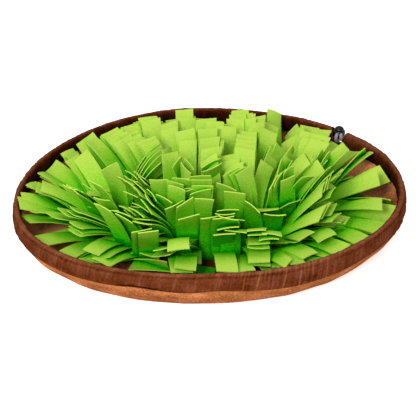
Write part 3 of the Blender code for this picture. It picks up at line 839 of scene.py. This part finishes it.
def feltMaterial(name, tone):
    # pressed polyester felt: dead matt and grainy; its colour holds painted light and shade: paler
    # towards the lit tips and deep green towards the roots, paler where a face turns to the key light,
    # and deeper green where other strips are near enough to shade it; the fibres are far finer on the
    # real felt and drawn this coarse (2.3 mm) to show
    material, shader = newMaterial(name, Roughness=1.0, Specular_IOR_Level=0.0)
    place = addNode(material, "TexCoord").outputs["Object"]
    settings = {"Scale": 430, "Detail": 4, "Roughness": 0.7}
    fibres = addNode(material, "TexNoise", settings, Vector=place).outputs["Fac"]
    clouds = addNode(material, "TexNoise", {"Scale": 45, "Detail": 2}, Vector=place)
    flat = addNode(material, "UVMap", {"uv_map": "UVMap"}).outputs["UV"]
    along = addNode(material, "SeparateXYZ", Vector=flat).outputs["Y"]
    # painted shade: deeper green towards the root, where the strips shade each other
    nearTip = addNode(material, "Math", {"operation": "POWER", 1: 1.6}, i0=along).outputs[0]
    # painted light: faces turned to the key light are paler
    normal = addNode(material, "NewGeometry").outputs["Normal"]
    settings = {"operation": "DOT_PRODUCT", 1: felt["light"]}
    facing = addNode(material, "VectorMath", settings, i0=normal).outputs["Value"]
    # painted shade: greener and darker where other strips are near, and darkest where they all but touch
    openness, gap = (
        addNode(material, "AmbientOcclusion", {"Distance": felt[reach]}).outputs["AO"]
        for reach in ("shadeReach", "touchReach")
    )
    settings = {"operation": "MULTIPLY_ADD", 1: 0.50, 2: tone}
    pale = addNode(material, "Math", settings, i0=nearTip).outputs[0]
    shares = (openness, 0.26), (gap, 0.46), (facing, 0.26), (clouds.outputs["Fac"], 0.14), (fibres, 1.10)
    colourByTone(material, shader, addShares(material, pale, shares), felt["fade"])
    addRelief(material, shader, fibres, 0.8, 0.0005)
    return material


feltFace = feltMaterial("pressedFelt", felt["faceTone"])
# the cut edges are a paler copy of the felt: a painted highlight
feltEdgeHighlight = feltMaterial("feltCutEdgeHighlight", felt["edgeHighlightTone"])


# The camera's view of the felt
def sightLine(pixel):
    # the camera's line of sight through a pixel, one metre deep
    x, y = ((p - camera["framePixels"] / 2) / camera["focalPixels"] for p in pixel)
    return camera["turn"] @ Vector((x, -y, -1))


def onSight(pixel, height):
    # the point at a height over the floor that the camera sees at a pixel
    line = sightLine(pixel)
    return camera["place"] + line * ((height - camera["place"].z) / line.z)


def toPixel(point):
    local = camera["turn"].transposed() @ (point - camera["place"])
    middle, scale = camera["framePixels"] / 2, camera["focalPixels"] / local.z
    return middle - scale * local.x, middle + scale * local.y


def hides(tree, point, ahead=0.003):
    # whether a strip stands between a point and the camera
    sight = (camera["place"] - point).normalized()
    return tree.ray_cast(point + sight * ahead, sight)[0] is not None


def covers(tree, point, behind=0.002, reach=0.08):
    # whether a point stands close in front of a strip that would otherwise show
    sight = (camera["place"] - point).normalized()
    return tree.ray_cast(point - sight * behind, -sight, reach)[0] is not None


def inside(pixel, corners):
    x, y = pixel
    hits = 0
    for (x0, y0), (x1, y1) in zip(corners, corners[1:] + corners[:1]):
        hits += (y0 > y) != (y1 > y) and x < x0 + (x1 - x0) * (y - y0) / (y1 - y0)
    return hits % 2 == 1


def outsideWall(point):
    # whether a point is in the upturned wall or the casing, or past them
    if point.z > mat["rimHeight"]:
        return False
    wall = mat["rimRadius"] - mat["casingThickness"] - 0.002
    if point.z < seamHeight:
        wall = mat["flatRadius"] + (wall - mat["flatRadius"]) * point.z / seamHeight - 0.001
    return math.hypot(point.x, point.y) / outlineShare(math.atan2(point.y, point.x)) > wall


# A strip's form, whether it is laid by the frame or stands in its ring
def drawChange(rng, loose):
    # how one strip differs from its neighbours; the first draw isn't used, and stays so that the
    # later ones do
    rng.random()
    return {
        "sway": math.radians(rng.uniform(-5, 5)) * loose,
        "twist": math.radians(rng.uniform(-6, 6)) * loose,
        "lean": math.radians(rng.uniform(-4, 4)) * loose,
        "curl": math.radians(rng.uniform(-9, 9)) * loose,
        "length": rng.uniform(0.96, 1.02),
        "cup": rng.uniform(-0.0016, 0.0016),
        "corner": rng.uniform(-0.0025, 0.0025),
        "bow": rng.uniform(-0.0030, 0.0030),
    }


def leaning(heading, angle):
    return heading * math.sin(angle) + Vector((0, 0, math.cos(angle)))


def bentStations(foot, heading, length, leanAt, widthAt):
    # centres, widths and face directions of a strip, from its root to its tip
    steps = felt["alongSteps"]
    centre, last = foot.copy(), None
    stations = []
    for i in range(steps + 1):
        forward = leaning(heading, leanAt(i / steps))
        if i:
            centre = centre + (forward + last) * (length / steps / 2)
        width = widthAt(i / steps, forward)
        stations.append((centre, width, forward.cross(width).normalized()))
        last = forward
    return stations


def stripRows(stations, change):
    # the strip's own surface: cupped a little across, its tip corners lifted
    rows = []
    steps = felt["acrossSteps"]
    for i, (centre, width, face) in enumerate(stations):
        s = i / (len(stations) - 1)
        row = []
        for x in (j / steps - 0.5 for j in range(steps + 1)):
            bow = change["cup"] * (4 * x * x - 0.4) * s
            bow += change["corner"] * x * 2 * s**3
            sideways = x * felt["width"] + change["bow"] * math.sin(math.pi * s)
            row.append(centre + width * sideways + face * bow)
        rows.append(row)
    return rows


def stripFaces(rowsList):
    # the points of strips, row after row, and the faces between them
    points, faces = [], []
    wide = felt["acrossSteps"] + 1
    for rows in rowsList:
        for i, row in enumerate(rows):
            start = len(points)
            points += row
            if i:
                faces += [(j - wide, j + 1 - wide, j + 1, j) for j in range(start, start + wide - 1)]
    return points, faces


def stripTree(rowsList):
    return BVHTree.FromPolygons(*stripFaces(rowsList))


# The strips that are laid by the frame: what is tried, and what each fault of a way counts
laying = {
    # heights of the tip, how many ways are tried against the other strips, and how near in the
    # frame another strip's tip must be for that
    "tipHeights": [0.010 + 0.005 * step for step in range(20)],
    "waysTried": 8,
    "nearPixels": 80,
    # the tip's edge: steps in depth each way, its least and greatest length
    "edgeTries": 12,
    "edgeStep": 0.002,
    "narrowest": 0.0225,
    "widest": 0.0255,
    # the edge out of square and out of level, per width
    "skew": 0.8,
    "steep": 0.1,
    # the root off its place, the height off the given one, the lean off the usual one (less so in
    # the mat's middle), the tip through the wall, the root past the felt
    "rootOff": 0.1,
    "rootReach": 0.03,
    "heightOff": 100,
    "leanOff": 0.25,
    "leanReach": 0.45,
    "middle": 0.04,
    "outside": 2,
    "rootPast": 40,
    "farthestRoot": 0.14,
    # each point of its sides, from this row on, in the wall or below the clearance, each tip point
    # that it hides or that is hidden, each strip that it crosses
    "firstSide": 4,
    "stuck": 0.05,
    "clearance": 0.0025,
    "hidden": 0.08,
    "crossed": 0.2,
}
Way = namedtuple("Way", "fault root tip edge heading lean")
Laid = namedtuple("Laid", "strip way middle outer tip rows")


def pliesOf(row):
    # the strips of one stack, each moved on by the stack's step
    strip = Strip(*row)
    for ply in range(strip.plies):
        right, down = (share * ply for share in strip.step)
        ends = [(x + right, y + down) for x, y in (strip.left, strip.right, strip.root)]
        yield Strip(*ends, strip.bend, strip.height)


def tipMiddle(strip):
    return [(a + b) / 2 for a, b in zip(strip.left, strip.right)]


def rootSpots(strip, tip, chord):
    # the two spots on the floor, one chord from the tip, that the frame shows in line with it
    start = onSight(tipMiddle(strip), rootHeight)
    way = (onSight(strip.root, rootHeight) - start).normalized()
    gap = start - tip
    half = gap.dot(way)
    room = half**2 - gap.length_squared + chord**2
    return [start + way * (side * math.sqrt(room) - half) for side in (-1, 1)] if room >= 0 else []


def tipEdge(strip, tip, forward):
    # the tip's edge: what the frame shows of it, and the part along the line of sight that makes
    # it as wide as the felt, square to the strip and level
    sight = sightLine(tipMiddle(strip))
    depth = (tip - camera["place"]).length / sight.length
    seen = (sightLine(strip.right) - sightLine(strip.left)) * depth
    sight.normalize()

    def fault(edge):
        wide, skew, steep = (part / felt["width"] for part in (edge.length, edge.dot(forward), edge.z))
        return (wide - 1) ** 2 + laying["skew"] * skew**2 + laying["steep"] * steep**2

    tries = laying["edgeTries"]
    edge = min((seen + sight * step * laying["edgeStep"] for step in range(-tries, tries + 1)), key=fault)
    return fault(edge), edge


# how far the felt leans from upright where it stands at a radius
usualLeans = [(ring[0], math.radians(sum(ring[4]) + sum(ring[5])) / 4) for ring in felt["rings"]]


def layings(strip):
    # ways for a strip to lie with its tip where the frame shows it, the likeliest first: its root
    # near the place given for it and inside the felt, and its height the one given, or else its
    # lean the usual one there
    bend = math.radians(strip.bend)
    chord = felt["length"] * math.sin(bend / 2) / (bend / 2)
    wanted = onSight(strip.root, rootHeight)
    found = []
    for height in laying["tipHeights"]:
        tip = onSight(tipMiddle(strip), height)
        for root in rootSpots(strip, tip, chord):
            reach = tip - root
            heading = Vector((reach.x, reach.y, 0)).normalized()
            lean = math.atan2(math.hypot(reach.x, reach.y), reach.z)
            fault, edge = tipEdge(strip, tip, leaning(heading, lean + bend / 2))
            fault += laying["rootOff"] * ((root - wanted).length / laying["rootReach"]) ** 2
            radius = math.hypot(root.x, root.y)
            if strip.height:
                fault += laying["heightOff"] * abs(height - strip.height)
            else:
                usual = valueAt(usualLeans, radius)
                off = (lean * heading.dot(root) / root.length - usual) / laying["leanReach"]
                fault += laying["leanOff"] * off**2 * min(1, radius / laying["middle"])
                fault += laying["outside"] * outsideWall(tip)
            fault += laying["rootPast"] * max(0, radius - laying["farthestRoot"])
            edge.length = min(max(edge.length, laying["narrowest"]), laying["widest"])
            found.append(Way(fault, root, tip, edge, heading, lean - bend / 2))
    return sorted(found, key=lambda way: way.fault)


def laidStations(strip, way):
    # across the floor's way at the root, turning into the tip's edge
    bend = math.radians(strip.bend)
    side = Vector((-way.heading.y, way.heading.x, 0))
    if side.dot(way.edge) < 0:
        side.negate()

    def widthAt(s, forward):
        turn = s * s * (3 - 2 * s)
        return side * (1 - turn) + way.edge / felt["width"] * turn

    return bentStations(way.root, way.heading, felt["length"], lambda s: way.lean + bend * s, widthAt)


def nearestRing(root):
    gaps = [abs(ring[0] - math.hypot(*root.xy)) for ring in felt["rings"]]
    return gaps.index(min(gaps))


def layStrips(rng):
    # lays the strips of the table one after the other, the outer rows of each clear of the earlier
    # ones if they can be
    laid = []
    crossed = 0
    for strip in [ply for rows in laidStrips.values() for row in rows for ply in pliesOf(row)]:
        change = drawChange(rng, felt["laidLoose"])
        middle = tipMiddle(strip)
        near = [other for other in laid if math.dist(middle, other.middle) < laying["nearPixels"]]
        tries = []
        for way in layings(strip)[: laying["waysTried"]]:
            rows = stripRows(laidStations(strip, way), change)
            outer = stripTree([rows[felt["rootRows"] :]])
            tip = [rows[-1][1], rows[-1][-2], rows[-3][2]]
            sides = [point for row in rows[laying["firstSide"] :: 2] for point in (row[0], row[-1])]
            stuck = sum(outsideWall(point) or point.z < laying["clearance"] for point in sides)
            hidden = sum(hides(outer, point) for other in near for point in other.tip)
            hidden += sum(hides(other.outer, point) for other in near for point in tip)
            overlaps = sum(bool(other.outer.overlap(outer)) for other in near)
            fault = way.fault + laying["stuck"] * stuck + laying["hidden"] * hidden
            fault += laying["crossed"] * overlaps
            tries.append((fault, overlaps, Laid(strip, way, middle, outer, tip, rows)))
        fault, overlaps, best = min(tries, key=lambda choice: choice[0])
        crossed += overlaps
        laid.append(best)
    print("laid strips:", len(laid), "crossings left in the outer rows:", crossed)
    return laid


def plyBehind(strip, way, ply, rng):
    # another ply of a laid strip's tuft, a few millimetres behind it and not quite in line
    away = way.heading if way.heading.y > 0 else -way.heading
    root = way.root + away * (ply * rng.uniform(*felt["plyBack"]))
    aside, turn, lean = (rng.uniform(-felt[most], felt[most]) for most in ("plyAside", "plyTurn", "plyLean"))
    root = root + Vector((-way.heading.y, way.heading.x, 0)) * aside
    spin = Matrix.Rotation(math.radians(turn), 3, "Z")
    lean = way.lean + math.radians(lean)
    change = drawChange(rng, felt["plyLoose"])
    way = way._replace(root=root, edge=spin @ way.edge, heading=spin @ way.heading, lean=lean)
    short = rng.uniform(*felt["plyLength"])
    stations = laidStations(strip, way)
    foot = stations[0][0]
    stations = [(foot + (centre - foot) * short, width, face) for centre, width, face in stations]
    return stripRows(stations, change)


# The strips that stand in their rings, between the laid ones
def fillerRows(rng):
    rings = felt["rings"]
    number = rng.choices(range(len(rings)), [ring[0] * ring[2] for ring in rings])[0]
    radius, columns, plies, turn, rootLeans, tipLeans, length, sway = rings[number]
    change = drawChange(rng, felt["fillerLoose"])
    azimuth = math.radians(turn) + rng.uniform(0, math.tau)
    lean = change["lean"] + math.radians(rng.uniform(*felt["fillerLean"]))
    ply = rng.uniform(0, plies - 1)

    def wave(name):
        count, ringShift, plyShift = felt[name]
        return math.sin(count * azimuth + ringShift * columns + plyShift * ply)

    def between(ends, share):
        return ends[0] * (1 - share) + ends[1] * share

    heading = azimuth + (math.radians(sway) * wave("swayWave") + change["sway"])
    nod = felt["nod"] * wave("nodWave")
    twist = math.radians(sway) * wave("twistWave") + change["twist"]
    outward = ply / (plies - 1)
    share = 1 + sum(nearness(azimuth, middle, reach) * patch for middle, reach, patch in felt["leanPatches"])
    rootLean = share * math.radians(between(rootLeans, outward)) + lean
    tipLean = share * math.radians(between(tipLeans, outward)) + lean + change["curl"]
    length *= (1 + felt["lengthChange"] * wave("lengthWave")) * change["length"]
    rootRadius = radius + (outward - 0.5) * felt["plySpacing"] * (plies - 1)
    foot, away = onCircle(rootRadius, azimuth, rootHeight), onCircle(1, heading)
    side = Vector((-away.y, away.x, 0))

    def leanAt(s):
        return rootLean + (tipLean - rootLean) * s + nod * s

    def widthAt(s, forward):
        return Matrix.Rotation(twist * s, 3, forward) @ side

    rows = stripRows(bentStations(foot, away, length, leanAt, widthAt), change)
    return [[uneven(point) for point in row] for row in rows]


def makeFelt():
    rng = random.Random(7)
    laid = layStrips(rng)
    rings = [[] for ring in felt["rings"]]
    for strip in laid:
        rings[nearestRing(strip.rows[0][2])].append(strip.rows)
    laidTree = stripTree([strip.rows for strip in laid])
    laidOuter = stripTree([strip.rows[felt["rootRows"] :] for strip in laid])
    sampleRows, sampleColumns = felt["sampleRows"], felt["sampleColumns"]
    shown = [row[j] for strip in laid for row in strip.rows[sampleRows[-1] :] for j in sampleColumns]
    shown = [(point, toPixel(point)) for point in shown if not hides(laidTree, point)]
    placed = []

    def fits(rows, spare):
        # whether a strip stays inside the rim and over the floor, crosses no other in its outer
        # rows, shows in no bare spot, and covers the laid ones at no more points than it may
        points = [point for row in rows for point in row]
        if any(outsideWall(point) or point.z < felt["floorClearance"] for point in points):
            return False
        root, outer = rows[0][2], stripTree([rows[felt["rootRows"] :]])
        near = [other for place, other in placed if (place - root).length < felt["nearRoots"]]
        if any(outer.overlap(other) for other in [laidOuter, *near]):
            return False
        samples = [rows[i][j] for i in sampleRows for j in sampleColumns]
        seen = [point for point in samples if not hides(laidTree, point)]
        pixels = [toPixel(point) for point in seen]
        if any(y < valueAt(feltTop, x) or any(inside((x, y), spot) for spot in bareSpots) for x, y in pixels):
            return False
        covered = sum(covers(laidOuter, point) for point in seen)
        if covered > spare or len(seen) > felt["openShare"] * len(samples):
            return False
        pixels = [toPixel(point) for row in rows for point in (row[0], row[-1])]
        (left, right), (top, bottom) = ((min(places), max(places)) for places in zip(*pixels))
        tree = stripTree([rows])
        for point, (x, y) in shown:
            if left < x < right and top < y < bottom and hides(tree, point, 0.002):
                return False
        placed.append((root, outer))
        rings[nearestRing(root)].append(rows)
        return True

    plies = 0
    for ply in range(1, felt["pliesBehind"] + 1):
        for strip in laid:
            for attempt in range(felt["plyAttempts"]):
                plies += fits(plyBehind(strip.strip, strip.way, ply, rng), felt["plyCovers"])
    filled = tries = 0
    while filled < felt["fillers"] and tries < felt["attempts"]:
        tries += 1
        filled += fits(fillerRows(rng), 0)
    print("plies behind:", plies, "filled in:", filled, "strips in all:", sum(len(ring) for ring in rings))
    return [makeFeltRing(number, rowsList) for number, rowsList in enumerate(rings)]


def makeFeltRing(number, rowsList):
    # the UV map holds the shares across and along each strip
    piece = pieceFrom(f"feltRing{number + 1}", *stripFaces(rowsList), feltFace, feltEdgeHighlight)
    wide, high = felt["acrossSteps"], felt["alongSteps"]
    shares = piece.data.uv_layers.new(name="UVMap").data
    for corner, share in zip(piece.data.loops, shares):
        row, column = divmod(corner.vertex_index, wide + 1)
        share.uv = column / wide, row % (high + 1) / high
    thicken(piece, mat["feltThickness"], material_offset_rim=1)
    pick(piece)
    bpy.ops.object.shade_smooth_by_angle(angle=felt["smoothAngle"])
    finishPiece(piece, "felt", f"felt_ring_{number + 1}")
    return piece


feltPieces = makeFelt()
print("felt made:", sum(len(p.data.polygons) for p in feltPieces), "faces")

# ---------- drawcord and its lock ----------
cordLock = {
    "radius": 0.0082,
    "drop": 0.005,
    "offset": -0.002,
    # its hole, from straight out of the rim round towards the casing's left end
    "turn": math.radians(42),
    "steps": 64,
    # the section of ball and press button, as shares of the radius
    "section": (
        (0.00, 1.12), (0.26, 1.09), (0.44, 1.01), (0.60, 0.89), (0.71, 0.78), (0.775, 0.66),
        (0.78, 0.55), (0.72, 0.50), (0.80, 0.485), (0.88, 0.44), (0.945, 0.30), (0.98, 0.12),
        (0.985, -0.06), (0.97, -0.25), (0.91, -0.46), (0.82, -0.62), (0.68, -0.77), (0.50, -0.88),
        (0.26, -0.945), (0.00, -0.96),
    ),
    "holeClearance": 0.0005,
    "holeSteps": 48,
    "edgeRound": 0.0003,
}
drawcord = {
    "diameter": 0.0045,
    "colours": ((0.1, "#3E383B"), (0.7, "#7E767A")),
    "beside": 0.0027,
    "pointSpacing": 0.0005,
    "ringSteps": 24,
    # the braid: bundles around, how far along one bundle takes to go round, how high it stands
    "bundles": 6,
    "pitch": 0.011,
    "relief": 0.00018,
    # along the rim from the lock's middle, inward of the casing's middle line, below the crest
    "routes": {
        "drawcord_right": (
            (0.0165, 0.0006, 0.0120), (0.0125, 0.0004, 0.0120), (0.0087, 0.0005, 0.0120),
            (0.0080, 0.0042, 0.0111), (0.0090, 0.0061, 0.0084), (0.0082, 0.0052, 0.0057),
            (0.0067, 0.0034, 0.0050), (0.0020, -0.0018, 0.0050), (-0.0028, -0.0071, 0.0050),
            (-0.0031, -0.0096, 0.0066), (-0.0031, -0.0114, 0.0106), (-0.0031, -0.0120, 0.0170),
        ),
        "drawcord_left": (
            (-0.0120, 0.0001, 0.0154), (-0.0080, 0.0001, 0.0155), (-0.0032, 0.0003, 0.0157),
            (0.0000, 0.0032, 0.0156), (0.0026, 0.0066, 0.0146), (0.0038, 0.0100, 0.0120),
            (0.0044, 0.0110, 0.0088), (0.0040, 0.0096, 0.0060), (0.0024, 0.0067, 0.0050),
            (-0.0020, 0.0018, 0.0050), (-0.0068, -0.0036, 0.0050), (-0.0083, -0.0073, 0.0056),
            (-0.0094, -0.0105, 0.0090), (-0.0102, -0.0120, 0.0175),
        ),
    },
}


def onCasing(angle):
    # a point on the casing's middle line
    return onCircle((mat["rimRadius"] - mat["casingThickness"] / 2) * outlineShare(angle), angle)


lockMiddle = onCasing(mat["lockAngle"])
lockRight = (onCasing(mat["lockAngle"] - 0.01) - lockMiddle).normalized()
lockOut = Vector((-lockRight.y, lockRight.x, 0))


def byLock(along, inward, belowCrest):
    up = Vector((0, 0, mat["rimHeight"] - belowCrest))
    return lockMiddle - lockOut * inward + lockRight * (along + cordLock["offset"]) + up


def braidMaterial():
    # braided polyester: soft light grey, with painted shade darker in the grooves between the bundles
    material, shader = newMaterial("braidedCord", Roughness=0.8, Specular_IOR_Level=0.2)
    relief = addNode(material, "Attribute", {"attribute_name": "tone"}).outputs["Fac"]
    colourByTone(material, shader, relief, drawcord["colours"])
    return material


def makeStrand(node, route, braid):
    # a tube along the route, its surface raised where the bundles of the braid cross over
    places = [byLock(*point) for point in route]
    length = sum((b - a).length for a, b in zip(places, places[1:]))
    count = round(length / drawcord["pointSpacing"])
    line = [smoothPath(places, step / count) for step in range(count + 1)]
    steps = drawcord["ringSteps"]
    verts, faces, tones = [], [], []
    side = Vector((0, 0, 1))
    for i, place in enumerate(line):
        ahead = (line[min(i + 1, count)] - line[max(i - 1, 0)]).normalized()
        side = (side - ahead * side.dot(ahead)).normalized()
        up = ahead.cross(side)
        turn = math.tau * i / count * length / drawcord["pitch"]
        for step in range(steps):
            angle = math.tau * step / steps
            one = math.sin(drawcord["bundles"] / 2 * (angle + turn))
            other = math.sin(drawcord["bundles"] / 2 * (angle - turn) + 1.5)
            raised = abs(max(one, other, key=abs))
            radius = drawcord["diameter"] / 2 - drawcord["relief"] * (1 - raised)
            verts.append(place + (side * math.cos(angle) + up * math.sin(angle)) * radius)
            # painted shade: the grooves between the bundles get the dark end of the cord's colours
            tones.append(raised)
            if i:
                a, b = ((i - 1) * steps + beside % steps for beside in (step, step + 1))
                faces.append((a, b, b + steps, a + steps))
    faces += [tuple(reversed(range(steps))), tuple(range(count * steps, (count + 1) * steps))]
    name = "braidedLeftStrand" if node.endswith("left") else "braidedRightStrand"
    piece = pieceFrom(name, verts, faces, braid)
    tone = piece.data.attributes.new("tone", "FLOAT", "POINT")
    tone.data.foreach_set("value", tones)
    closeSeams(piece)
    piece.data.shade_smooth()
    return finishPiece(piece, "drawcord", node)


def makeCordLock():
    # moulded black plastic: glossy, so it holds small bright reflections
    finish = {"Base_Color": "#060506", "Roughness": 0.22, "Specular_IOR_Level": 0.25}
    plastic, _ = newMaterial("glossBlackPlastic", **finish)
    # the ball is turned from its section
    radius, steps = cordLock["radius"], cordLock["steps"]
    (_, summit), *section, (_, foot) = cordLock["section"]
    verts, faces = [], []
    for i, (out, up) in enumerate(section):
        for step in range(steps):
            verts.append(onCircle(radius * out, math.tau * step / steps, radius * up))
            if i:
                a, b = ((i - 1) * steps + beside % steps for beside in (step, step + 1))
                faces.append((a, a + steps, b + steps, b))
    last = (len(section) - 1) * steps
    for step in range(steps):
        after = (step + 1) % steps
        faces += [(len(verts), step, after), (len(verts) + 1, last + after, last + step)]
    verts += [Vector((0, 0, radius * summit)), Vector((0, 0, radius * foot))]
    piece = pieceFrom("blackCordLock", verts, faces, plastic)

    # a flat slot is cut through it for the two strands
    deselectAll()
    holeRadius = drawcord["diameter"] / 2 + cordLock["holeClearance"]
    bpy.ops.mesh.primitive_cylinder_add(vertices=cordLock["holeSteps"], radius=holeRadius, depth=radius * 4)
    cutter = bpy.context.object
    cutter.data.transform(Matrix.Rotation(math.pi / 2, 4, "Y"))
    for vertex in cutter.data.vertices:
        if abs(vertex.co.y) > 1e-6:
            vertex.co.y += math.copysign(drawcord["beside"], vertex.co.y)
    applyModifier(piece, "slot", "BOOLEAN", operation="DIFFERENCE", object=cutter, solver="EXACT")
    bpy.data.objects.remove(cutter)
    settings = {"segments": 2, "limit_method": "ANGLE", "angle_limit": math.radians(50)}
    applyModifier(piece, "edges", "BEVEL", width=cordLock["edgeRound"], **settings)
    piece.data.shade_smooth()
    piece.location = byLock(0, 0, cordLock["drop"])
    piece.rotation_euler.z = math.atan2(lockOut.y, lockOut.x) + cordLock["turn"]
    return finishPiece(piece, "cord_lock", "cord_lock")


braid = braidMaterial()
strands = [makeStrand(node, route, braid) for node, route in drawcord["routes"].items()]
lockPiece = makeCordLock()
print("drawcord and lock made:", sum(len(p.data.polygons) for p in [*strands, lockPiece]), "faces")
